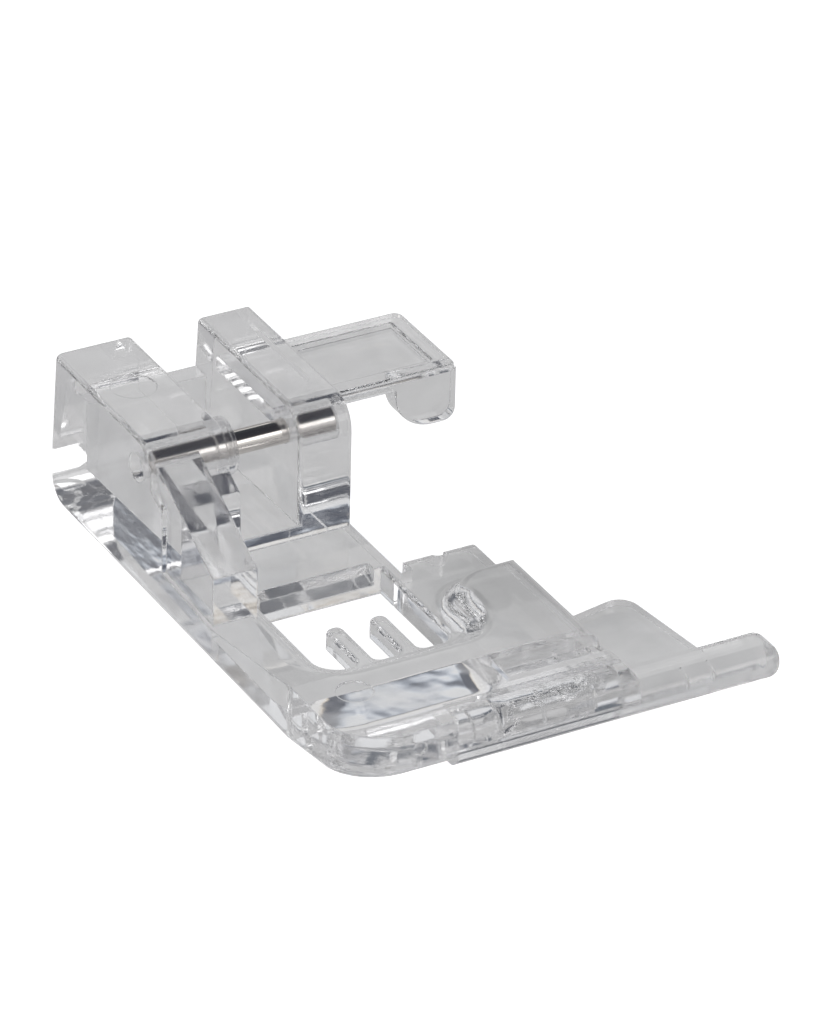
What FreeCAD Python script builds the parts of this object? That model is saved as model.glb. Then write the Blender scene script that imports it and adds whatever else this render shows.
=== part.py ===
import FreeCAD, Part
import math
import os
import re
import Sketcher

# Clip-on presser foot for an overlock sewing machine, in millimetres.
# One clear moulded foot and one steel cross pin.
# It is drawn with x = 0 on the outer face of the left ear, y = 0 at the front of the toe and
# z = 0 on the sole, then both pieces are placed so that the frame's origin is under the middle.

doc = FreeCAD.newDocument("presser_foot")
sheet = doc.addObject("Spreadsheet::Sheet", "sizes")

SIZES = {
    # whole foot
    "foot_length": 50.7,
    "foot_width": 37.4,
    "ear_top": 13.5,
    # sole slab
    "toe_lift": 1.5,
    "toe_ramp": 10.2,
    "plateau_back": 9.6,
    "toe_corner": 4.6,
    "rim_low": 3.0,
    "rim_low_from_toe": 22.9,
    "rim_back": 3.6,
    "deck_back": 3.1,
    "heel_round": 2.4,
    "back_lean": 0.9,
    "back_lean_from": 4.2,
    "arm_width": 24.7,
    "arm_length": 26.6,
    "arm_step": 24.3,
    "lobe_left": 18.5,
    "lobe_gap_left": 21.1,
    "lobe_gap": 1.0,
    "lobe_gap_depth": 1.3,
    "lobe_round": 0.9,
    "lobe_valley_round": 0.45,
    "lobe_nose": 1.4,
    # dish round the needle window
    "dish_floor": 2.4,
    "dish_left": 4.4,
    "dish_front": 13.3,
    "dish_corner": 3.0,
    "dish_rise": 3.2,
    "dish_slope_left": 4.3,
    "dish_slope_front": 4.5,
    "dish_corner_top": 5.5,
    "dish_foot_round": 1.4,
    "dish_rim_round": 1.4,
    # needle window and the two stitch fingers
    "window_left": 5.3,
    "window_width": 11.2,
    "window_front": 14.1,
    "window_length": 11.7,
    "window_corner": 2.1,
    "finger_width": 1.5,
    "finger_left": 8.2,
    "finger_spacing": 3.8,
    "finger_length": 5.7,
    "finger_tip": 0.68,
    "finger_root": 0.6,
    "window_corner_right": 1.2,
    "finger_floor": 0.8,
    "window_edge": 0.4,
    "lip_height": 0.9,
    "lip_slope": 1.0,
    "lip_margin": 0.6,
    # ears
    "left_ear_width": 6.8,
    "ear_gap": 6.0,
    "right_ear_width": 4.7,
    "pin_from_toe": 35.2,
    "pin_height": 10.75,
    "ear_root": 1.2,
    "ear_edge": 0.4,
    "side_round": 0.8,
    "left_ear_front": 30.8,
    "left_ear_front_top": 9.2,
    "boss_length": 0.9,
    "back_wall_top": 9.0,
    "back_wall_thickness": 1.4,
    # slanted leg in front of the left ear
    "leg_left": 0.4,
    "leg_width": 3.8,
    "leg_front": 23.0,
    "leg_front_top": 7.1,
    "leg_drop": 1.05,
    "leg_reach": 2.0,
    # cross pin and its bore
    "pin_diameter": 2.0,
    "pin_recess": 0.9,
    "pin_seat": 4.0,
    "pin_clearance": 0.04,
    "pin_chamfer": 0.2,
    # side tab with its hanging lug
    "tab_top": 9.8,
    "tab_thickness": 1.3,
    "tab_reach": 13.5,
    "tab_front": 40.0,
    "tab_rim": 1.6,
    "tab_recess": 0.45,
    "tab_corner": 0.8,
    "lug_width": 5.5,
    "lug_drop": 3.8,
    "lug_round": 3.4,
    "lug_corner": 1.1,
    "lug_thickness": 2.0,
    "tab_edge_round": 0.25,
    "lug_edge": 0.3,
    # raised pad right of the window
    "pad_left": 18.1,
    "pad_top": 5.1,
    "pad_front": 6.3,
    "pad_back": 18.0,
    "pad_corner_left": 3.4,
    "pad_draft": 0.3,
    "pad_draft_back": 3.0,
    "pad_valley": 2.4,
    "pad_valley_top": 3.4,
    "pocket_left": 15.3,
    "pocket_depth": 2.6,
    "pocket_floor": 3.9,
    # front bar and its nose
    "bar_depth": 4.1,
    "bar_bottom": 0.6,
    "bar_top": 3.4,
    "bar_left": 9.0,
    "bar_round": 1.3,
    "nose_round": 1.0,
    "lip_top": 4.6,
    "lip_round": 1.8,
    "lip_depth": 2.4,
    # wing between the toe and the nose
    "wing_top": 2.4,
    "wing_bottom": 1.0,
    "wing_back": 13.8,
    "wing_right": 31.3,
    "wing_front_right": 32.6,
    "wing_corner": 1.6,
    # rings across the lip and the bar, moulding marks and the dimple
    "ring_first": 10.4,
    "ring_second": 12.6,
    "ring_third": 16.4,
    "ring_fourth": 20.8,
    "ring_fifth": 28.9,
    "ring_sixth": 31.2,
    "ring_width": 0.6,
    "ring_depth": 0.14,
    "toe_mark_x": 4.0,
    "toe_mark_y": 7.0,
    "toe_mark_diameter": 2.9,
    "ear_mark_x": 3.3,
    "ear_mark_y": 42.3,
    "ear_mark_diameter": 3.7,
    "mark_depth": 0.1,
    "dimple_x": 5.8,
    "dimple_z": 3.5,
    "dimple_diameter": 1.1,
    "dimple_depth": 0.25,
}


def fill_sheet():
    """Write every driving size into the sheet, with its name as the cell's alias."""
    for row, (name, value) in enumerate(SIZES.items(), start=1):
        sheet.set(f"A{row}", name)
        sheet.set(f"B{row}", str(value))
        sheet.setAlias(f"B{row}", name)
    doc.recompute()


def formula(words):
    """Turn words such as 'ear_top - toe_lift' into an expression on the sheet."""
    return re.sub(r"[a-z]+(_[a-z]+)+", r"sizes.\g<0>", words)


def value_of(words):
    """Work out a formula's number in millimetres."""
    return float(sheet.evalExpression(formula(words)))


def origin_plane(body, role):
    return next(item for item in body.Origin.OriginFeatures if item.Role == role)


def bind(sketch, index, words):
    sketch.setExpression(f"Constraints[{index}]", formula(words))


def place_point(sketch, geometry, end, u, v):
    """Tie one point of a sketch to its two coordinates."""
    for kind, axis, words in (("DistanceX", -2, u), ("DistanceY", -1, v)):
        if words == "0":
            sketch.addConstraint(Sketcher.Constraint("PointOnObject", geometry, end, axis))
            continue
        constraint = Sketcher.Constraint(kind, -1, 1, geometry, end, value_of(words))
        bind(sketch, sketch.addConstraint(constraint), words)


def new_sketch(body, name, role, offset="0"):
    """A sketch on one of the body's origin planes, moved along that plane's normal."""
    sketch = body.newObject("Sketcher::SketchObject", name)
    sketch.AttachmentSupport = (origin_plane(body, role), [""])
    sketch.MapMode = "FlatFace"
    if offset != "0":
        sketch.setExpression("AttachmentOffset.Base.z", formula(offset))
    return sketch


def outline(body, name, role, corners, offset="0"):
    """A closed outline through corners (u, v) or (u, v, rounding radius), counter-clockwise."""
    sketch = new_sketch(body, name, role, offset)
    points = [FreeCAD.Vector(value_of(c[0]), value_of(c[1]), 0) for c in corners]
    count = len(corners)
    trims = []
    for i in range(count):
        back = (points[i - 1] - points[i]).normalize()
        ahead = (points[(i + 1) % count] - points[i]).normalize()
        turn = back.getAngle(ahead)
        trims.append(value_of(corners[i][2]) / math.tan(turn / 2) if len(corners[i]) > 2 else 0)
    for i in range(count):
        j = (i + 1) % count
        along = (points[j] - points[i]).normalize()
        sketch.addGeometry(Part.LineSegment(points[i] + along * trims[i], points[j] - along * trims[j]))
    for i, corner in enumerate(corners):
        before = (i - 1) % count
        if len(corner) == 2:
            sketch.addConstraint(Sketcher.Constraint("Coincident", before, 2, i, 1))
            place_point(sketch, i, 1, corner[0], corner[1])
            continue
        round_corner(sketch, before, i, points, i, value_of(corner[2]), trims[i], corner)
    return sketch


def round_corner(sketch, before, after, points, i, radius, trim, corner):
    """Join two lines by a tangent arc, with the sharp corner kept as a construction point."""
    count = len(points)
    back = (points[before] - points[i]).normalize()
    ahead = (points[(i + 1) % count] - points[i]).normalize()
    first = points[i] + back * trim
    last = points[i] + ahead * trim
    middle = points[i] + (back + ahead).normalize() * math.hypot(trim, radius)
    left_turn = (-back).cross(ahead).z > 0
    start, end = (first, last) if left_turn else (last, first)
    angles = [math.atan2(p.y - middle.y, p.x - middle.x) for p in (start, end)]
    if angles[1] < angles[0]:
        angles[1] += 2 * math.pi
    circle = Part.Circle(middle, FreeCAD.Vector(0, 0, 1), radius)
    arc = sketch.addGeometry(Part.ArcOfCircle(circle, angles[0], angles[1]))
    point = sketch.addGeometry(Part.Point(points[i]))
    sketch.toggleConstruction(point)
    place_point(sketch, point, 1, corner[0], corner[1])
    sketch.addConstraint(Sketcher.Constraint("PointOnObject", point, 1, before))
    sketch.addConstraint(Sketcher.Constraint("PointOnObject", point, 1, after))
    arc_first, arc_last = (1, 2) if left_turn else (2, 1)
    sketch.addConstraint(Sketcher.Constraint("Tangent", before, 2, arc, arc_first))
    sketch.addConstraint(Sketcher.Constraint("Tangent", arc, arc_last, after, 1))
    bind(sketch, sketch.addConstraint(Sketcher.Constraint("Radius", arc, radius)), corner[2])


def disc(body, name, role, u, v, radius, offset="0"):
    """A circle in a sketch."""
    sketch = new_sketch(body, name, role, offset)
    centre = FreeCAD.Vector(value_of(u), value_of(v), 0)
    circle = sketch.addGeometry(Part.Circle(centre, FreeCAD.Vector(0, 0, 1), value_of(radius)))
    place_point(sketch, circle, 3, u, v)
    bind(sketch, sketch.addConstraint(Sketcher.Constraint("Radius", circle, value_of(radius))), radius)
    return sketch


def pad(body, name, sketch, length, reverse=False):
    feature = body.newObject("PartDesign::Pad", name)
    feature.Profile = sketch
    feature.setExpression("Length", formula(length))
    feature.Reversed = reverse
    feature.Refine = True
    return checked(feature, body, 1)


def pocket(body, name, sketch, length=None, reverse=False, symmetric=False):
    feature = body.newObject("PartDesign::Pocket", name)
    feature.Profile = sketch
    if length is None:
        feature.Type = "ThroughAll"
        feature.SideType = "Symmetric" if symmetric else "One side"
    else:
        feature.setExpression("Length", formula(length))
    feature.Reversed = reverse
    feature.Refine = True
    return checked(feature, body, -1)


def ring_cut(body, name, places, centre_y, centre_z, radius):
    """Shallow V rings over a rounded front edge, turned about the rounding's own axis."""
    sketch = new_sketch(body, name + "_profile", "XY_Plane", centre_z)
    sketch.setExpression("AttachmentOffset.Base.y", formula(centre_y))
    doc.recompute()
    for place in places:
        outer = f"0 - {radius} - ring_depth"
        corners = [
            (f"{place} - ring_width / 2", outer),
            (f"{place} + ring_width / 2", outer),
            (place, f"ring_depth - {radius}"),
        ]
        points = [FreeCAD.Vector(value_of(u), value_of(v), 0) for u, v in corners]
        lines = [sketch.addGeometry(Part.LineSegment(points[i - 1], points[i])) for i in range(3)]
        for i, (u, v) in enumerate(corners):
            sketch.addConstraint(Sketcher.Constraint("Coincident", lines[i], 2, lines[(i + 1) % 3], 1))
            place_point(sketch, lines[i], 2, u, v)
    feature = body.newObject("PartDesign::Groove", name)
    feature.Profile = sketch
    feature.ReferenceAxis = (sketch, ["H_Axis"])
    feature.Angle = 90
    feature.Reversed = True
    feature.Refine = True
    return checked(feature, body, -1)


def computed(feature):
    """Compute a feature, and stop if it isn't one sound solid."""
    doc.recompute()
    shape = feature.Shape
    if not feature.isValid() or shape.isNull() or not shape.isValid() or len(shape.Solids) != 1:
        raise RuntimeError(f"{feature.Name} failed")
    return feature


def checked(feature, body, sense):
    """Compute a feature, and stop if it added or removed nothing."""
    before = feature.BaseFeature.Shape.Volume if feature.BaseFeature else 0
    computed(feature)
    change = feature.Shape.Volume - before
    if change * sense <= 0:
        raise RuntimeError(f"{feature.Name} changed the volume by {change:.4f}")
    return feature


def lies(edge, x=None, y=None, z=None):
    """Tell whether an edge keeps to the given coordinates, each one number or a (low, high) pair."""
    if edge.Degenerated:
        return False
    for axis, limit in enumerate((x, y, z)):
        if limit is None:
            continue
        low, high = limit if isinstance(limit, tuple) else (limit, limit)
        if any(not low - 0.001 <= point[axis] <= high + 0.001 for point in edge.discretize(7)):
            return False
    return True


def edges_of(feature, wanted):
    names = [f"Edge{i}" for i, edge in enumerate(feature.Shape.Edges, start=1) if wanted(edge)]
    if not names:
        raise RuntimeError(f"no edge of {feature.Name} fits")
    return names


def fillet(body, name, base, wanted, radius):
    feature = body.newObject("PartDesign::Fillet", name)
    feature.Base = (base, edges_of(base, wanted))
    feature.setExpression("Radius", formula(radius))
    return computed(feature)


fill_sheet()
foot = doc.addObject("PartDesign::Body", "clear_foot")
foot.Label = "clear_foot"


# Sole slab, up to the sloping top of the toe

RIGHT_EAR = "left_ear_width + ear_gap"
BASE_WIDTH = RIGHT_EAR + " + right_ear_width"
EAR_FRONT = "pin_from_toe - (ear_top - pin_height)"
EAR_NOSE = "ear_top - pin_height"
WINDOW_BACK = "window_front + window_length"
LOBE_RIGHT = "lobe_gap_left + lobe_gap"
LOBE_VALLEY = "arm_length - lobe_gap_depth"

slab = pad(foot, "slab", outline(foot, "slab_outline", "XY_Plane", [
    ("0", "0", "toe_corner"),
    ("arm_width", "0"),
    ("arm_width", "arm_length", "lobe_round"),
    (LOBE_RIGHT, "arm_length", "lobe_round"),
    (LOBE_RIGHT, LOBE_VALLEY, "lobe_valley_round"),
    ("lobe_gap_left", LOBE_VALLEY, "lobe_valley_round"),
    ("lobe_gap_left", "arm_length", "lobe_round"),
    ("lobe_left", "arm_length", "lobe_round"),
    ("lobe_left", "arm_step"),
    (BASE_WIDTH, "arm_step"),
    (BASE_WIDTH, "foot_length"),
    ("0", "foot_length"),
]), "pad_top")

pocket(foot, "toe_ramp_cut", outline(foot, "toe_ramp_line", "YZ_Plane", [
    ("0", "0"),
    ("toe_ramp", "0"),
    ("0", "toe_lift"),
]), symmetric=True)

# Dish round the needle window: sloping sides at the left and front, open to the right

DISH_RIGHT = "arm_width + lobe_gap"
dish = foot.newObject("PartDesign::SubtractiveLoft", "dish")
dish.Profile = outline(foot, "dish_bottom", "XY_Plane", [
    ("dish_left", "dish_front", "dish_corner"),
    ("pad_left - pad_draft", "dish_front", "pad_valley"),
    ("pad_left - pad_draft", "pad_back + pad_draft_back", "pad_corner_left"),
    (DISH_RIGHT, "pad_back + pad_draft_back"),
    (DISH_RIGHT, EAR_FRONT),
    ("dish_left", EAR_FRONT),
], "dish_floor")
dish.Sections = [outline(foot, "dish_top", "XY_Plane", [
    ("dish_left - dish_slope_left", "dish_front - dish_slope_front", "dish_corner_top"),
    ("pad_left", "dish_front - dish_slope_front", "pad_valley_top"),
    ("pad_left", "pad_back", "pad_corner_left"),
    (DISH_RIGHT, "pad_back"),
    (DISH_RIGHT, EAR_FRONT),
    ("dish_left - dish_slope_left", EAR_FRONT),
], "dish_floor + dish_rise")]
dish.Ruled = True
checked(dish, foot, -1)

ear_line = value_of(EAR_FRONT)
pad_level = value_of("pad_top")
pad_right = value_of("arm_width")
dish_line = value_of("dish_front - dish_slope_front")
dish_rim = fillet(foot, "dish_rim", dish,
    lambda edge: lies(edge, x=(0.1, pad_right), y=(0, ear_line), z=pad_level)
        and (lies(edge, x=pad_right) or lies(edge, y=(dish_line, ear_line)))
        and not lies(edge, y=ear_line), "dish_rim_round")

floor_level = value_of("dish_floor")
floor_back = value_of("pad_back + pad_draft_back")
fillet(foot, "dish_foot", dish_rim,
    lambda edge: lies(edge, x=(0, pad_right), y=(0, ear_line), z=floor_level)
        and (lies(edge, x=(0, pad_right), y=(0, floor_back)) or lies(edge, x=value_of("dish_left"))),
    "dish_foot_round")

pocket(foot, "lobe_nose_cut", outline(foot, "lobe_nose_line", "YZ_Plane", [
    ("arm_length", "0"),
    ("arm_length + lobe_nose", "0"),
    ("arm_length + lobe_nose", "pad_top"),
    ("arm_step", "pad_top"),
    ("arm_step", "dish_floor"),
    ("arm_length", "dish_floor", "lobe_nose"),
], "lobe_left"), "arm_width - lobe_left", reverse=True)

# Left rim and the deck between the ears, both lower than the toe

pocket(foot, "rim_cut", outline(foot, "rim_line", "YZ_Plane", [
    ("plateau_back", "pad_top"),
    ("rim_low_from_toe", "rim_low"),
    ("left_ear_front", "rim_back"),
    ("foot_length", "deck_back"),
    ("foot_length", "ear_top"),
    ("plateau_back", "ear_top"),
]), "dish_left + dish_slope_left", reverse=True)

pocket(foot, "deck_cut", outline(foot, "deck_line", "YZ_Plane", [
    ("left_ear_front", "rim_back"),
    ("foot_length", "deck_back"),
    ("foot_length", "ear_top"),
    ("left_ear_front", "ear_top"),
]), BASE_WIDTH, reverse=True)

# Needle window with two stitch fingers, and the slope behind its back lip

window_corners = [("window_left", "window_front", "window_corner")]
for step in ("", " + finger_spacing"):
    left = "finger_left" + step
    right = left + " + finger_width"
    tip = "window_front + finger_length"
    window_corners += [
        (left, "window_front", "finger_root"),
        (left, tip, "finger_tip"),
        (right, tip, "finger_tip"),
        (right, "window_front", "finger_root"),
    ]
window_corners += [
    ("window_left + window_width", "window_front", "window_corner_right"),
    ("window_left + window_width", WINDOW_BACK),
    ("window_left", WINDOW_BACK),
]
window = pocket(foot, "window", outline(foot, "window_outline", "XY_Plane", window_corners), symmetric=True)

fillet(foot, "window_edges", window,
    lambda edge: lies(edge, x=(value_of("window_left"), value_of("window_left + window_width")),
        y=(value_of("window_front"), value_of(WINDOW_BACK)), z=(floor_level, floor_level + 0.5))
        and not lies(edge, y=value_of(WINDOW_BACK)), "window_edge")

pocket(foot, "finger_undercut", outline(foot, "finger_underside", "XY_Plane", [
    ("finger_left - finger_root", "window_front"),
    ("finger_left + finger_spacing + finger_width + finger_root", "window_front"),
    ("finger_left + finger_spacing + finger_width + finger_root", "window_front + finger_length"),
    ("finger_left - finger_root", "window_front + finger_length"),
]), "finger_floor", reverse=True)

pocket(foot, "lip_cut", outline(foot, "lip_line", "YZ_Plane", [
    (WINDOW_BACK, "lip_height"),
    (WINDOW_BACK + " + lip_slope", "dish_floor"),
    (WINDOW_BACK + " + lip_slope", "rim_low"),
    (WINDOW_BACK, "rim_low"),
], "window_left + lip_margin"), "window_width - 2 * lip_margin", reverse=True)

# Ears, their boss, the wall between them at the back and the leg in front

left_ear = pad(foot, "left_ear", outline(foot, "left_ear_side", "YZ_Plane", [
    ("left_ear_front", "ear_root"),
    ("foot_length", "ear_root"),
    ("foot_length", "ear_top"),
    (EAR_FRONT, "ear_top", EAR_NOSE),
    (EAR_FRONT, "left_ear_front_top + pin_recess"),
    ("left_ear_front", "left_ear_front_top"),
]), "left_ear_width")

pad(foot, "right_ear", outline(foot, "right_ear_side", "YZ_Plane", [
    (EAR_FRONT, "ear_root"),
    ("foot_length", "ear_root"),
    ("foot_length", "ear_top"),
    (EAR_FRONT, "ear_top", EAR_NOSE),
], RIGHT_EAR), "right_ear_width")

pad(foot, "back_wall", outline(foot, "back_wall_plan", "XY_Plane", [
    ("left_ear_width", "foot_length - back_lean - back_wall_thickness"),
    (RIGHT_EAR, "foot_length - back_lean - back_wall_thickness"),
    (RIGHT_EAR, "foot_length"),
    ("left_ear_width", "foot_length"),
], "ear_root"), "back_wall_top - ear_root")

# Heel, back face and the rounded edges of the ears

pocket(foot, "back_lean_cut", outline(foot, "back_lean_line", "YZ_Plane", [
    ("foot_length", "back_lean_from"),
    ("foot_length + back_lean", "back_lean_from"),
    ("foot_length + back_lean", "ear_top"),
    ("foot_length - back_lean", "ear_top"),
]), symmetric=True)

top = value_of("ear_top")
back = value_of("foot_length")
heel = fillet(foot, "heel", foot.Tip, lambda edge: lies(edge, y=back, z=0), "heel_round")

side_edges = fillet(foot, "side_edges", heel,
    lambda edge: lies(edge, x=0) and (lies(edge, z=(0, value_of("toe_lift"))) or
        lies(edge, y=(back - value_of("heel_round"), back)) and edge.Length > 1), "side_round")

left_ear_sides = (0, value_of("left_ear_width"))
left_ear_edges = fillet(foot, "left_ear_edges", side_edges,
    lambda edge: any(lies(edge, x=side, z=(value_of("back_wall_top"), top)) for side in left_ear_sides),
    "ear_edge")

right_ear_sides = (value_of(RIGHT_EAR), value_of(BASE_WIDTH))
fillet(foot, "right_ear_edges", left_ear_edges,
    lambda edge: any(lies(edge, x=side, z=(value_of("pin_height"), top)) for side in right_ear_sides),
    "ear_edge")

# Boss of the left ear and the slanted leg in front of it

pad(foot, "boss", disc(foot, "boss_end", "YZ_Plane", "pin_from_toe", "pin_height",
    EAR_NOSE + " - ear_edge", "left_ear_width"), "boss_length")

pad(foot, "leg", outline(foot, "leg_side", "YZ_Plane", [
    ("leg_front", "ear_root"),
    ("pin_from_toe - leg_reach", "ear_root"),
    ("pin_from_toe - leg_reach", "ear_top - leg_drop"),
    ("leg_front", "leg_front_top"),
], "leg_left"), "leg_width")

# Side tab with a shallow panel, and the lug that hangs from its end

TAB_BACK = "foot_length - back_lean"
TAB_RIGHT = BASE_WIDTH + " + tab_reach"
pad(foot, "tab", outline(foot, "tab_plan", "XY_Plane", [
    (BASE_WIDTH + " - tab_rim", "tab_front"),
    (TAB_RIGHT, "tab_front", "tab_corner"),
    (TAB_RIGHT, TAB_BACK, "tab_corner"),
    (BASE_WIDTH + " - tab_rim", TAB_BACK),
], "tab_top - tab_thickness"), "tab_thickness")

pocket(foot, "tab_panel", outline(foot, "tab_panel_plan", "XY_Plane", [
    (BASE_WIDTH + " + tab_rim", "tab_front + tab_rim"),
    (TAB_RIGHT + " - tab_rim", "tab_front + tab_rim"),
    (TAB_RIGHT + " - tab_rim", TAB_BACK + " - tab_rim"),
    (BASE_WIDTH + " + tab_rim", TAB_BACK + " - tab_rim"),
], "tab_top"), "tab_recess")

lug = pad(foot, "lug", outline(foot, "lug_face", "XZ_Plane", [
    (TAB_RIGHT + " - lug_width", "tab_top - tab_thickness - lug_drop", "lug_round"),
    (TAB_RIGHT, "tab_top - tab_thickness - lug_drop", "lug_corner"),
    (TAB_RIGHT, "tab_top - tab_recess"),
    (TAB_RIGHT + " - lug_width", "tab_top - tab_recess"),
], "0 - (tab_front + lug_thickness)"), "lug_thickness")

tab_under = value_of("tab_top - tab_thickness")
fillet(foot, "lug_edges", lug,
    lambda edge: lies(edge, y=value_of("tab_front"), z=(value_of("ear_root"), tab_under)), "lug_edge")

# Shallow pocket across the toe, in front of the raised pad

pocket(foot, "toe_pocket", outline(foot, "toe_pocket_plan", "XY_Plane", [
    ("pocket_left", "pad_front - pocket_depth"),
    (DISH_RIGHT, "pad_front - pocket_depth"),
    (DISH_RIGHT, "pad_front"),
    ("pocket_left", "pad_front"),
], "pad_top"), "pad_top - pocket_floor")

# Rounded front lip, then the bar that runs on to the nose, and the wing behind it

pocket(foot, "lip_round_cut", outline(foot, "lip_round_line", "YZ_Plane", [
    ("0 - lip_round", "toe_lift"),
    ("0", "toe_lift"),
    ("0", "lip_top", "lip_round"),
    ("lip_depth", "lip_top"),
    ("lip_depth", "ear_top"),
    ("0 - lip_round", "ear_top"),
], "bar_left"), "arm_width", reverse=True)

pad(foot, "bar", outline(foot, "bar_section", "YZ_Plane", [
    ("0", "bar_bottom", "bar_round"),
    ("bar_depth", "bar_bottom", "bar_round"),
    ("bar_depth", "bar_top", "bar_round"),
    ("0", "bar_top", "bar_round"),
], "bar_left"), "foot_width - bar_left")

pad(foot, "wing", outline(foot, "wing_plan", "XY_Plane", [
    ("arm_width - wing_corner", "bar_depth - bar_round"),
    ("wing_front_right", "bar_depth - bar_round"),
    ("wing_right", "wing_back", "wing_corner"),
    ("arm_width - wing_corner", "wing_back - wing_corner"),
], "wing_bottom"), "wing_top - wing_bottom")

# Rounded edges of the nose, the pad and the tab

nose_right = value_of("foot_width")
nose_end = fillet(foot, "nose_end", foot.Tip, lambda edge: lies(edge, x=nose_right), "nose_round")

tab_level = value_of("tab_top")
tab_span = (value_of(BASE_WIDTH), value_of(TAB_RIGHT))
fillet(foot, "tab_edges", nose_end,
    lambda edge: lies(edge, x=tab_span, z=tab_level) and not lies(edge, x=tab_span[0]), "tab_edge_round")

# Rings across the lip and the bar, the moulding marks and a dimple on the toe's front

ring_cut(foot, "lip_rings", ["ring_first", "ring_second", "ring_third", "ring_fourth"],
    "lip_round", "lip_top - lip_round", "lip_round")
ring_cut(foot, "bar_rings", ["ring_fifth", "ring_sixth"],
    "bar_round", "bar_top - bar_round", "bar_round")
pocket(foot, "toe_mark", disc(foot, "toe_mark_circle", "XY_Plane", "toe_mark_x", "toe_mark_y",
    "toe_mark_diameter / 2", "pad_top"), "mark_depth")
pocket(foot, "ear_mark", disc(foot, "ear_mark_circle", "XY_Plane", "ear_mark_x", "ear_mark_y",
    "ear_mark_diameter / 2", "ear_top"), "mark_depth")
pocket(foot, "dimple", disc(foot, "dimple_circle", "XZ_Plane", "dimple_x", "dimple_z",
    "dimple_diameter / 2"), "dimple_depth")

# Bore for the cross pin, wider where the pin is recessed

pocket(foot, "bore", disc(foot, "bore_circle", "YZ_Plane", "pin_from_toe", "pin_height",
    "pin_diameter / 2 + pin_clearance"), RIGHT_EAR + " + pin_seat", reverse=True)
pocket(foot, "bore_mouth", disc(foot, "bore_mouth_circle", "YZ_Plane", "pin_from_toe", "pin_height",
    "pin_diameter / 2 + pin_chamfer"), "pin_recess", reverse=True)

# Cross pin

pin = doc.addObject("PartDesign::Body", "cross_pin")
pin.Label = "cross_pin"
rod = pad(pin, "rod", disc(pin, "rod_circle", "YZ_Plane", "pin_from_toe", "pin_height",
    "pin_diameter / 2", "pin_recess"), RIGHT_EAR + " + pin_seat - pin_recess - pin_clearance")
rod_chamfer = pin.newObject("PartDesign::Chamfer", "rod_chamfer")
rod_chamfer.Base = (rod, edges_of(rod, lambda edge: edge.Closed))
rod_chamfer.setExpression("Size", formula("pin_chamfer"))
doc.recompute()

# Place both pieces round the middle of the foot, check them and write them

for piece in (foot, pin):
    piece.setExpression("Placement.Base.x", formula("0 - foot_width / 2"))
    piece.setExpression("Placement.Base.y", formula("0 - foot_length / 2"))
doc.recompute()

for item in doc.Objects:
    if "Invalid" in item.State or "Error" in item.State:
        raise RuntimeError(f"{item.Name} is not sound: {item.State}")
os.makedirs("parts", exist_ok=True)
for piece in (foot, pin):
    if piece.Shape.isNull() or not piece.Shape.isValid() or len(piece.Shape.Solids) != 1:
        raise RuntimeError(f"{piece.Label} is not one sound solid")
    piece.Shape.exportStep(f"parts/{piece.Label}.step")
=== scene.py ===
import math

import bpy
from mathutils import Matrix, Vector


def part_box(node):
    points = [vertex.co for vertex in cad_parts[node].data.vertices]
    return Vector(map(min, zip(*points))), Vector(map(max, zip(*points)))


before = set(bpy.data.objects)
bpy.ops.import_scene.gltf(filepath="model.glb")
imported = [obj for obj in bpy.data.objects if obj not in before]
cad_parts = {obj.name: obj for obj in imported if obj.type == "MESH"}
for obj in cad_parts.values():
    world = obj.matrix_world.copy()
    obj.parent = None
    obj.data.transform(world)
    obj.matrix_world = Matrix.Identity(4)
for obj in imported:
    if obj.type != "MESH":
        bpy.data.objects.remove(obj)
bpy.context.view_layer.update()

bl_info = {
    "name": "Clip-on presser foot finish",
    "version": (1, 0, 0),
    "blender": (4, 5, 0),
    "location": "View3D > Sidebar > Presser Foot",
    "description": "Clear plastic, polished pin and studio for a clip-on presser foot",
    "category": "Object",
}

FOOT = "clear_foot"
PIN = "cross_pin"
MM = 0.001

# The photograph's frame, and the point of the foot that fixes the camera in it:
# the sole's left edge, 27.7 mm behind the toe, at this pixel.
PHOTO_WIDTH = 819
PHOTO_HEIGHT = 1024
ANCHOR_PIXEL = (180, 632)
ANCHOR_FROM_TOE = 27.7 * MM
PIXELS_PER_MM = 13.0
SENSOR_WIDTH_MM = 36.0

# The plastic's dull patches and clouds: their size in flow sizes, and the stretch of the noise
# over which they come in.
PATCH_SIZE = 2.2
PATCH_RANGE = (0.42, 0.72)
CLOUD_SIZE = 1.2
CLOUD_RANGE = (0.38, 0.62)

# The strength of the waves as bumps, and the number of rays that feel for a sharp edge.
WAVE_STRENGTH = 0.5
EDGE_SAMPLES = 6

# The bore's surface comes in between these distances from the pin's middle line, in pin radii.
BORE_RANGE = (1.15, 1.10)

# Fine rings: how far they are drawn out round the pin, and their depth and strength as bumps.
RING_STRETCH = 0.02
BORE_RING_DEPTH = 0.004 * MM
BORE_RING_STRENGTH = 0.6
PIN_RING_DEPTH = 0.002 * MM
PIN_RING_STRENGTH = 0.25

# The pin's roughness in its smoothest and its dullest rings, as parts of the set roughness.
PIN_ROUGHNESS_RANGE = (0.6, 1.8)

# The floor's half width, and how far it lies under the sole.
FLOOR_HALF = 2.0
FLOOR_DROP = 0.05 * MM

# The floor's own light for the camera, and in plastic and steel, where a painted shade makes it
# dimmer near the point under the raised pad that the foot shades most.
FLOOR_GLOW = 0.90
PAINTED_SHADE_CENTRE = (8 * MM, -5 * MM, 0)
PAINTED_SHADE_RANGE = (4 * MM, 16 * MM)
PAINTED_SHADE_GLOW = (0.42, 0.60)

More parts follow.
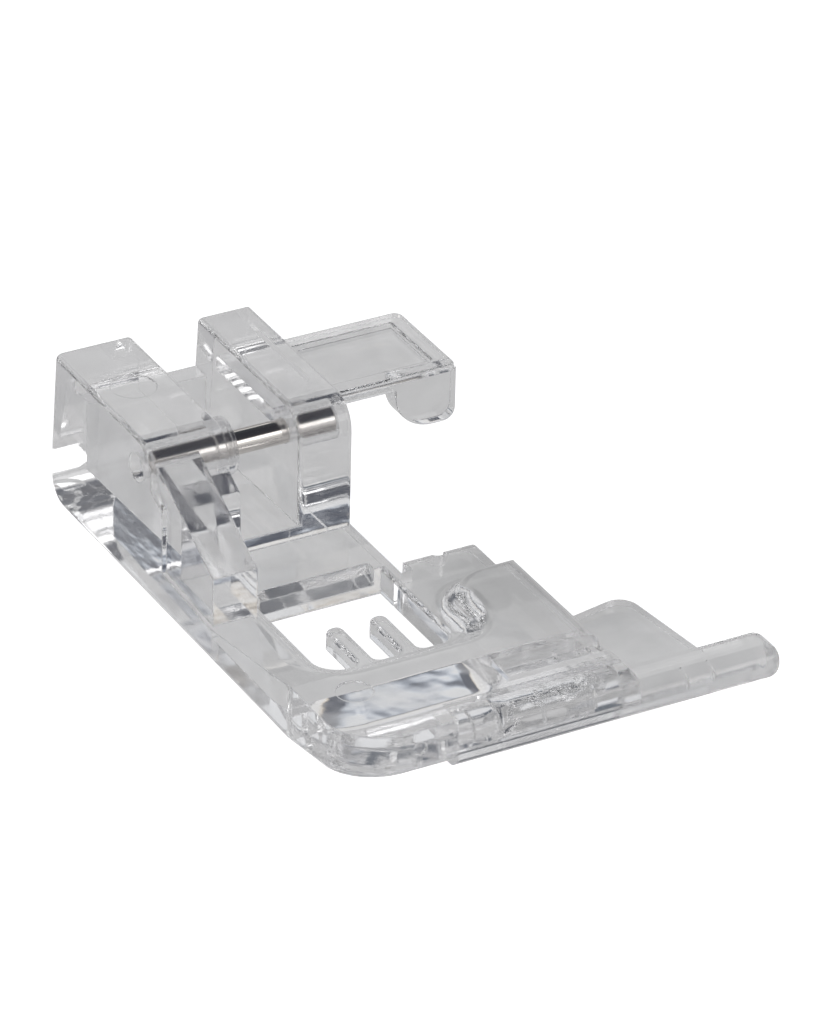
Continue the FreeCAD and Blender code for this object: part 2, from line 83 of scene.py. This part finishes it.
# The lamps: place, width and height.
SOFTBOX_PLACE = (0.19, -0.34, 0.20)
SOFTBOX_SIZE = (0.30, 0.16)
STRIP_PLACE = (-0.38, -0.05, 0.16)
STRIP_SIZE = (0.06, 0.40)

# Where the walls in front of the foot give way to those behind it, by the Y of a direction.
WALLS_TURN = (-0.55, -0.15)

# Colour of the studio's walls from the horizon (0) to the zenith (1), in front of and behind the
# foot: as they are mirrored by its surfaces, and as they show through the clear plastic.
MIRRORED_WALLS = (
    (
        (0.0, 0.90, 0.90, 0.90),
        (0.52, 1.0, 0.98, 0.95),
        (0.66, 0.05, 0.05, 0.06),
        (1.0, 0.03, 0.03, 0.04),
    ),
    (
        (0.0, 0.60, 0.60, 0.60),
        (0.15, 0.50, 0.50, 0.50),
        (0.40, 0.20, 0.20, 0.21),
        (0.46, 1.0, 1.0, 1.0),
        (0.55, 1.0, 1.0, 1.0),
        (0.62, 0.08, 0.09, 0.10),
        (1.0, 0.03, 0.03, 0.04),
    ),
)
SHOWN_WALLS = (
    (
        (0.0, 0.85, 0.85, 0.85),
        (0.60, 0.92, 0.91, 0.90),
        (0.72, 0.08, 0.09, 0.12),
        (1.0, 0.08, 0.08, 0.10),
    ),
    (
        (0.0, 0.85, 0.85, 0.85),
        (0.06, 0.82, 0.81, 0.79),
        (0.10, 0.12, 0.14, 0.17),
        (0.17, 0.12, 0.14, 0.17),
        (0.22, 0.84, 0.85, 0.87),
        (0.468, 0.84, 0.83, 0.81),
        (0.474, 0.84, 0.74, 0.60),
        (0.480, 0.05, 0.06, 0.09),
        (0.514, 0.05, 0.06, 0.09),
        (0.518, 0.62, 0.69, 0.79),
        (0.523, 0.84, 0.85, 0.86),
        (0.66, 0.82, 0.82, 0.82),
        (0.76, 0.06, 0.07, 0.09),
        (1.0, 0.08, 0.08, 0.10),
    ),
)

# Sockets of a Mix node that are used when it mixes colours.
MIX_INPUTS = (0, 6, 7)
MIX_OUTPUT = 2


class PlasticSettings(bpy.types.PropertyGroup):
    """Finish of the clear moulding"""
    tint: bpy.props.FloatVectorProperty(
        name="Tint", description="Colour that the clear plastic gives to what shows through it",
        subtype="COLOR", size=3, min=0, max=1, default=(0.925, 0.925, 0.935))
    ior: bpy.props.FloatProperty(
        name="Refraction", description="Index of refraction of the plastic", min=1, max=2, default=1.49)
    polish: bpy.props.FloatProperty(
        name="Polish roughness", description="Roughness of the polished faces",
        min=0, max=1, default=0.02)
    smudge: bpy.props.FloatProperty(
        name="Smudge roughness", description="Roughness where the surface is slightly dull",
        min=0, max=1, default=0.09)
    flow_size: bpy.props.FloatProperty(
        name="Flow size", description="Width of the faint waves left by the flow in the mould",
        subtype="DISTANCE", min=0.0005, max=0.05, default=0.004)
    flow_depth: bpy.props.FloatProperty(
        name="Flow depth", description="Height of those waves", subtype="DISTANCE",
        min=0, max=0.001, default=0.00003)
    edge_radius: bpy.props.FloatProperty(
        name="Edge radius", description="Rounding left by the mould on every sharp edge",
        subtype="DISTANCE", min=0.00001, max=0.001, default=0.00015)
    clouding: bpy.props.FloatProperty(
        name="Clouding", description="Darkening of the faint clouds on the surface",
        min=0, max=1, default=0.10)
    haze: bpy.props.FloatProperty(
        name="Haze", description="Share of the light that the dull surface scatters",
        min=0, max=1, default=0.015)
    bore_dullness: bpy.props.FloatProperty(
        name="Bore roughness", description="Roughness added in the bore round the pin",
        min=0, max=1, default=0.16)
    drill_pitch: bpy.props.FloatProperty(
        name="Drill pitch", description="Spacing of the fine rings in the bore", subtype="DISTANCE",
        min=0.00001, max=0.001, default=0.00012)


class PinSettings(bpy.types.PropertyGroup):
    """Finish of the steel cross pin"""
    colour: bpy.props.FloatVectorProperty(
        name="Steel", description="Colour of the polished steel", subtype="COLOR",
        size=3, min=0, max=1, default=(0.70, 0.67, 0.64))
    roughness: bpy.props.FloatProperty(
        name="Roughness", description="Roughness of the polished steel", min=0, max=1, default=0.12)
    scratch_width: bpy.props.FloatProperty(
        name="Scratch width", description="Spacing of the fine rings left by grinding",
        subtype="DISTANCE", min=0.00001, max=0.001, default=0.00008)


class StudioSettings(bpy.types.PropertyGroup):
    """Camera, floor and light"""
    azimuth: bpy.props.FloatProperty(
        name="Azimuth", description="Camera direction round the foot", subtype="ANGLE",
        default=math.radians(-29.5))
    elevation: bpy.props.FloatProperty(
        name="Elevation", description="Camera height above the horizon", subtype="ANGLE",
        default=math.radians(30.5))
    roll: bpy.props.FloatProperty(
        name="Roll", description="Turn of the camera about its own axis", subtype="ANGLE",
        default=math.radians(1.5))
    focal_pixels: bpy.props.FloatProperty(
        name="Focal length", description="Focal length in pixels of the photograph",
        subtype="PIXEL", min=100, default=6400)
    floor_colour: bpy.props.FloatVectorProperty(
        name="Floor", description="Colour of the floor", subtype="COLOR",
        size=3, min=0, max=1, default=(0.9, 0.9, 0.9))
    key_power: bpy.props.FloatProperty(
        name="Key light", description="Power of the softbox at the front right", subtype="POWER",
        min=0, default=0.2)
    fill_power: bpy.props.FloatProperty(
        name="Fill light", description="Power of the strip at the left", subtype="POWER",
        min=0, default=0.08)
    light_bounces: bpy.props.IntProperty(
        name="Light bounces", description="Longest path of the light inside the clear plastic",
        min=1, max=64, default=28)


def node_tree(owner):
    """An empty node tree on a material or a world."""
    owner.use_nodes = True
    owner.node_tree.nodes.clear()
    return owner.node_tree


def add(tree, kind, **sockets):
    """A node with its named input sockets set."""
    node = tree.nodes.new(kind)
    for name, value in sockets.items():
        node.inputs[name.replace("_", " ")].default_value = value
    return node


def feed(tree, socket, value):
    """Link an output to an input socket, or set the socket to a plain value."""
    if isinstance(value, bpy.types.NodeSocket):
        tree.links.new(value, socket)
    else:
        socket.default_value = value


def calculate(tree, operation, *values):
    """The result of a math node on outputs or plain values."""
    node = add(tree, "ShaderNodeMath")
    node.operation = operation
    for socket, value in zip(node.inputs, values):
        feed(tree, socket, value)
    return node.outputs[0]


def map_range(tree, value, start, end, low=0.0, high=1.0):
    """Runs from low to high as the value goes from start to end, and no further."""
    node = add(tree, "ShaderNodeMapRange")
    for name, limit in zip(("From Min", "From Max", "To Min", "To Max"), (start, end, low, high)):
        node.inputs[name].default_value = limit
    tree.links.new(value, node.inputs["Value"])
    return node.outputs["Result"]


def scaled(tree, place, factors):
    """A place with each of its axes scaled."""
    node = add(tree, "ShaderNodeMapping", Scale=factors)
    tree.links.new(place, node.inputs["Vector"])
    return node.outputs["Vector"]


def distance(tree, place, point):
    """Distance of a place from a fixed point."""
    node = add(tree, "ShaderNodeVectorMath")
    node.operation = "DISTANCE"
    tree.links.new(place, node.inputs[0])
    node.inputs[1].default_value = point
    return node.outputs["Value"]


def noise(tree, place, size, **sockets):
    """Noise of one size, from 0 to 1."""
    node = add(tree, "ShaderNodeTexNoise", Scale=1 / size, **sockets)
    tree.links.new(place, node.inputs["Vector"])
    return node.outputs["Fac"]


def bump(tree, height, strength, depth):
    """A bump node driven by a height, with its Normal input still free."""
    node = add(tree, "ShaderNodeBump", Strength=strength, Distance=depth)
    tree.links.new(height, node.inputs["Height"])
    return node


def mix_colours(tree, share, first, second):
    """The first colour at share 0, the second at share 1."""
    node = add(tree, "ShaderNodeMix")
    node.data_type = "RGBA"
    for socket, value in zip(MIX_INPUTS, (share, first, second)):
        feed(tree, node.inputs[socket], value)
    return node.outputs[MIX_OUTPUT]


def mix_shaders(tree, share, first, second):
    """The first shader at share 0, the second at share 1."""
    node = add(tree, "ShaderNodeMixShader")
    for socket, value in zip(node.inputs, (share, first, second)):
        tree.links.new(value, socket)
    return node.outputs[0]


def near_pin(tree):
    """1 on the surface of the bore round the pin, 0 elsewhere."""
    low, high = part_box(PIN)
    radius = (high.z - low.z) / 2
    place = add(tree, "ShaderNodeNewGeometry").outputs["Position"]
    across = scaled(tree, place, (0, 1, 1))
    reach = distance(tree, across, (0, (low.y + high.y) / 2, (low.z + high.z) / 2))
    return map_range(tree, reach, *(factor * radius for factor in BORE_RANGE))


def drill_rings(tree, place, pitch):
    """Fine uneven rings round the pin's direction."""
    along = scaled(tree, place, (1.0, RING_STRETCH, RING_STRETCH))
    return noise(tree, along, pitch, Detail=3.0, Roughness=0.7)


def plastic_roughness(tree, look, place, bored):
    """Polished, with slightly dull patches, and duller in the bore."""
    patches = noise(tree, place, PATCH_SIZE * look.flow_size, Detail=4.0, Roughness=0.6)
    spread = map_range(tree, patches, *PATCH_RANGE, look.polish, look.smudge)
    return calculate(tree, "MULTIPLY_ADD", bored, look.bore_dullness, spread)


def plastic_normal(tree, look, place, bored):
    """Rounded edges, faint waves, and fine rings in the bore."""
    edges = add(tree, "ShaderNodeBevel", Radius=look.edge_radius)
    edges.samples = EDGE_SAMPLES
    swell = noise(tree, place, look.flow_size, Detail=2.0, Roughness=0.4)
    waves = bump(tree, swell, WAVE_STRENGTH, look.flow_depth)
    tree.links.new(edges.outputs["Normal"], waves.inputs["Normal"])
    grooves = calculate(tree, "MULTIPLY", drill_rings(tree, place, look.drill_pitch), bored)
    scored = bump(tree, grooves, BORE_RING_STRENGTH, BORE_RING_DEPTH)
    tree.links.new(waves.outputs["Normal"], scored.inputs["Normal"])
    return scored.outputs["Normal"]


def plastic_colour(tree, look, place):
    """The tint, a little darker in faint clouds."""
    clouds = noise(tree, place, CLOUD_SIZE * look.flow_size, Detail=6.0, Distortion=0.8)
    darker = ((1 - look.clouding) * part for part in look.tint)
    return mix_colours(tree, map_range(tree, clouds, *CLOUD_RANGE), (*look.tint, 1), (*darker, 1))


def plastic_material(look):
    """Clear moulded plastic."""
    material = bpy.data.materials.new("clear_moulded_plastic")
    tree = node_tree(material)
    link = tree.links.new
    place = add(tree, "ShaderNodeTexCoord").outputs["Object"]
    bored = near_pin(tree)
    surface = add(tree, "ShaderNodeBsdfPrincipled", IOR=look.ior, Transmission_Weight=1 - look.haze)
    link(plastic_colour(tree, look, place), surface.inputs["Base Color"])
    link(plastic_roughness(tree, look, place, bored), surface.inputs["Roughness"])
    link(plastic_normal(tree, look, place, bored), surface.inputs["Normal"])
    link(surface.outputs["BSDF"], add(tree, "ShaderNodeOutputMaterial").inputs["Surface"])
    return material


def pin_material(look):
    """Ground and polished steel, with fine rings round the pin."""
    material = bpy.data.materials.new("polished_pin_steel")
    tree = node_tree(material)
    link = tree.links.new
    rings = drill_rings(tree, add(tree, "ShaderNodeTexCoord").outputs["Object"], look.scratch_width)
    dull = map_range(tree, rings, 0.0, 1.0, *(part * look.roughness for part in PIN_ROUGHNESS_RANGE))
    ground = bump(tree, rings, PIN_RING_STRENGTH, PIN_RING_DEPTH)
    surface = add(tree, "ShaderNodeBsdfPrincipled", Metallic=1.0, Base_Color=(*look.colour, 1))
    link(dull, surface.inputs["Roughness"])
    link(ground.outputs["Normal"], surface.inputs["Normal"])
    link(surface.outputs["BSDF"], add(tree, "ShaderNodeOutputMaterial").inputs["Surface"])
    return material


def finish_node(name, material):
    """Give a CAD node its material."""
    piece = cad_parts[name]
    piece.data.materials.clear()
    piece.data.materials.append(material)


class CLEARFOOT_OT_finish_moulding(bpy.types.Operator):
    """Finish the clear moulded foot"""
    bl_idname = "clearfoot.finish_moulding"
    bl_label = "Finish Clear Moulding"

    def execute(self, context):
        finish_node(FOOT, plastic_material(context.scene.foot_plastic))
        return {"FINISHED"}


class CLEARFOOT_OT_finish_pin(bpy.types.Operator):
    """Finish the steel cross pin"""
    bl_idname = "clearfoot.finish_pin"
    bl_label = "Finish Cross Pin"

    def execute(self, context):
        finish_node(PIN, pin_material(context.scene.foot_pin))
        return {"FINISHED"}


def floor_material(look):
    """White floor: lit and shadowed for the camera, and pale grey in plastic and steel, with painted
    shade under the raised pad.
    """
    material = bpy.data.materials.new("studio_floor")
    tree = node_tree(material)
    link = tree.links.new
    path = add(tree, "ShaderNodeLightPath").outputs
    lit = add(tree, "ShaderNodeBsdfDiffuse", Color=(*look.floor_colour, 1)).outputs[0]
    seen = add(tree, "ShaderNodeAddShader")
    link(lit, seen.inputs[0])
    link(add(tree, "ShaderNodeEmission", Strength=FLOOR_GLOW).outputs[0], seen.inputs[1])
    # Painted shade: in plastic and steel the floor glows dimmer near the point under the raised pad.
    reach = distance(tree, add(tree, "ShaderNodeNewGeometry").outputs["Position"], PAINTED_SHADE_CENTRE)
    through = add(tree, "ShaderNodeEmission")
    link(map_range(tree, reach, *PAINTED_SHADE_RANGE, *PAINTED_SHADE_GLOW), through.inputs["Strength"])
    direct = mix_shaders(tree, path["Is Camera Ray"], lit, seen.outputs[0])
    by_foot = calculate(tree, "MAXIMUM", path["Is Glossy Ray"], path["Is Transmission Ray"])
    result = mix_shaders(tree, by_foot, direct, through.outputs[0])
    link(result, add(tree, "ShaderNodeOutputMaterial").inputs["Surface"])
    return material


def make_floor(look):
    """A wide floor just under the sole."""
    mesh = bpy.data.meshes.new("studio_floor")
    signs = ((-1, -1), (1, -1), (1, 1), (-1, 1))
    corners = [(x * FLOOR_HALF, y * FLOOR_HALF, -FLOOR_DROP) for x, y in signs]
    mesh.from_pydata(corners, [], [(0, 1, 2, 3)])
    floor = bpy.data.objects.new("studio_floor", mesh)
    floor.data.materials.append(floor_material(look))
    bpy.context.scene.collection.objects.link(floor)


def brightness_ramp(tree, value, stops):
    """The colour that a value has between (position, red, green, blue) stops."""
    ramp = add(tree, "ShaderNodeValToRGB")
    elements = ramp.color_ramp.elements
    for end in (0, -1):
        position, *colour = stops[end]
        elements[end].position = position
        elements[end].color = (*colour, 1)
    for position, *colour in stops[1:-1]:
        elements.new(position).color = (*colour, 1)
    tree.links.new(value, ramp.inputs["Fac"])
    return ramp.outputs["Color"]


def make_world():
    """Studio round the foot: pale walls with dark bands, a dark ceiling, white for the camera."""
    world = bpy.data.worlds.new("studio")
    bpy.context.scene.world = world
    tree = node_tree(world)
    link = tree.links.new
    axes = add(tree, "ShaderNodeSeparateXYZ")
    link(add(tree, "ShaderNodeTexCoord").outputs["Generated"], axes.inputs[0])
    turn = map_range(tree, axes.outputs["Y"], *WALLS_TURN)
    walls = []
    for sides in (MIRRORED_WALLS, SHOWN_WALLS):
        front, behind = (brightness_ramp(tree, axes.outputs["Z"], stops) for stops in sides)
        walls.append(mix_colours(tree, turn, front, behind))
    path = add(tree, "ShaderNodeLightPath").outputs
    room = add(tree, "ShaderNodeBackground", Strength=1.0)
    link(mix_colours(tree, path["Is Transmission Ray"], *walls), room.inputs["Color"])
    white = add(tree, "ShaderNodeBackground", Color=(1, 1, 1, 1), Strength=1.0)
    seen = mix_shaders(tree, path["Is Camera Ray"], room.outputs[0], white.outputs[0])
    link(seen, add(tree, "ShaderNodeOutputWorld").inputs["Surface"])


def make_softbox(name, place, size, power):
    """An area lamp that points at the foot."""
    lamp = bpy.data.lights.new(name, "AREA")
    lamp.shape = "RECTANGLE"
    lamp.size, lamp.size_y = size
    lamp.energy = power
    softbox = bpy.data.objects.new(name, lamp)
    softbox.location = place
    softbox.rotation_euler = (-Vector(place)).to_track_quat("-Z", "Y").to_euler()
    softbox.visible_camera = False
    bpy.context.scene.collection.objects.link(softbox)


def make_camera(look):
    """The photograph's camera, placed by one point of the foot and its pixel."""
    turn, rise, roll = look.azimuth, look.elevation, look.roll
    back = Vector((math.sin(turn) * math.cos(rise), -math.cos(turn) * math.cos(rise), math.sin(rise)))
    level = Vector((math.cos(turn), math.sin(turn), 0))
    upright = back.cross(level)
    right = math.cos(roll) * level + math.sin(roll) * upright
    up = back.cross(right)
    depth = look.focal_pixels / PIXELS_PER_MM * MM
    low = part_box(FOOT)[0]
    anchor = Vector((low.x, low.y + ANCHOR_FROM_TOE, 0))
    aside = (ANCHOR_PIXEL[0] - PHOTO_WIDTH / 2) / PIXELS_PER_MM * MM
    above = (PHOTO_HEIGHT / 2 - ANCHOR_PIXEL[1]) / PIXELS_PER_MM * MM
    place = anchor - right * aside - up * above + back * depth
    data = bpy.data.cameras.new("photo_camera")
    data.sensor_width = SENSOR_WIDTH_MM
    data.lens = SENSOR_WIDTH_MM * look.focal_pixels / PHOTO_HEIGHT
    camera = bpy.data.objects.new("photo_camera", data)
    axes = Matrix((right, up, back)).transposed()
    camera.matrix_world = Matrix.Translation(place) @ axes.to_4x4()
    bpy.context.scene.collection.objects.link(camera)
    bpy.context.scene.camera = camera


class CLEARFOOT_OT_build_studio(bpy.types.Operator):
    """Build the floor, the light and the camera"""
    bl_idname = "clearfoot.build_studio"
    bl_label = "Build Studio"

    def execute(self, context):
        look = context.scene.foot_studio
        make_world()
        make_floor(look)
        make_softbox("softbox_front", SOFTBOX_PLACE, SOFTBOX_SIZE, look.key_power)
        make_softbox("strip_left", STRIP_PLACE, STRIP_SIZE, look.fill_power)
        make_camera(look)
        context.scene.view_settings.view_transform = "Standard"
        for kind in ("max_bounces", "glossy_bounces", "transmission_bounces"):
            setattr(context.scene.cycles, kind, look.light_bounces)
        return {"FINISHED"}


class CLEARFOOT_PT_sidebar(bpy.types.Panel):
    """Presser foot finish and studio"""
    bl_idname = "CLEARFOOT_PT_sidebar"
    bl_label = "Presser Foot"
    bl_space_type = "VIEW_3D"
    bl_region_type = "UI"
    bl_category = "Presser Foot"

    def draw(self, context):
        for name in SETTINGS:
            settings = getattr(context.scene, name)
            box = self.layout.box()
            for key in settings.__annotations__:
                box.prop(settings, key)
        for operator in OPERATORS:
            self.layout.operator(operator.bl_idname)


SETTINGS = {"foot_plastic": PlasticSettings, "foot_pin": PinSettings, "foot_studio": StudioSettings}
OPERATORS = (CLEARFOOT_OT_finish_moulding, CLEARFOOT_OT_finish_pin, CLEARFOOT_OT_build_studio)
CLASSES = (*SETTINGS.values(), *OPERATORS, CLEARFOOT_PT_sidebar)


def register():
    for cls in CLASSES:
        bpy.utils.register_class(cls)
    for name, group in SETTINGS.items():
        setattr(bpy.types.Scene, name, bpy.props.PointerProperty(type=group))


def unregister():
    for name in SETTINGS:
        delattr(bpy.types.Scene, name)
    for cls in reversed(CLASSES):
        bpy.utils.unregister_class(cls)


def main():
    register()
    bpy.ops.clearfoot.finish_moulding()
    bpy.ops.clearfoot.finish_pin()
    bpy.ops.clearfoot.build_studio()


if __name__ == "__main__":
    main()
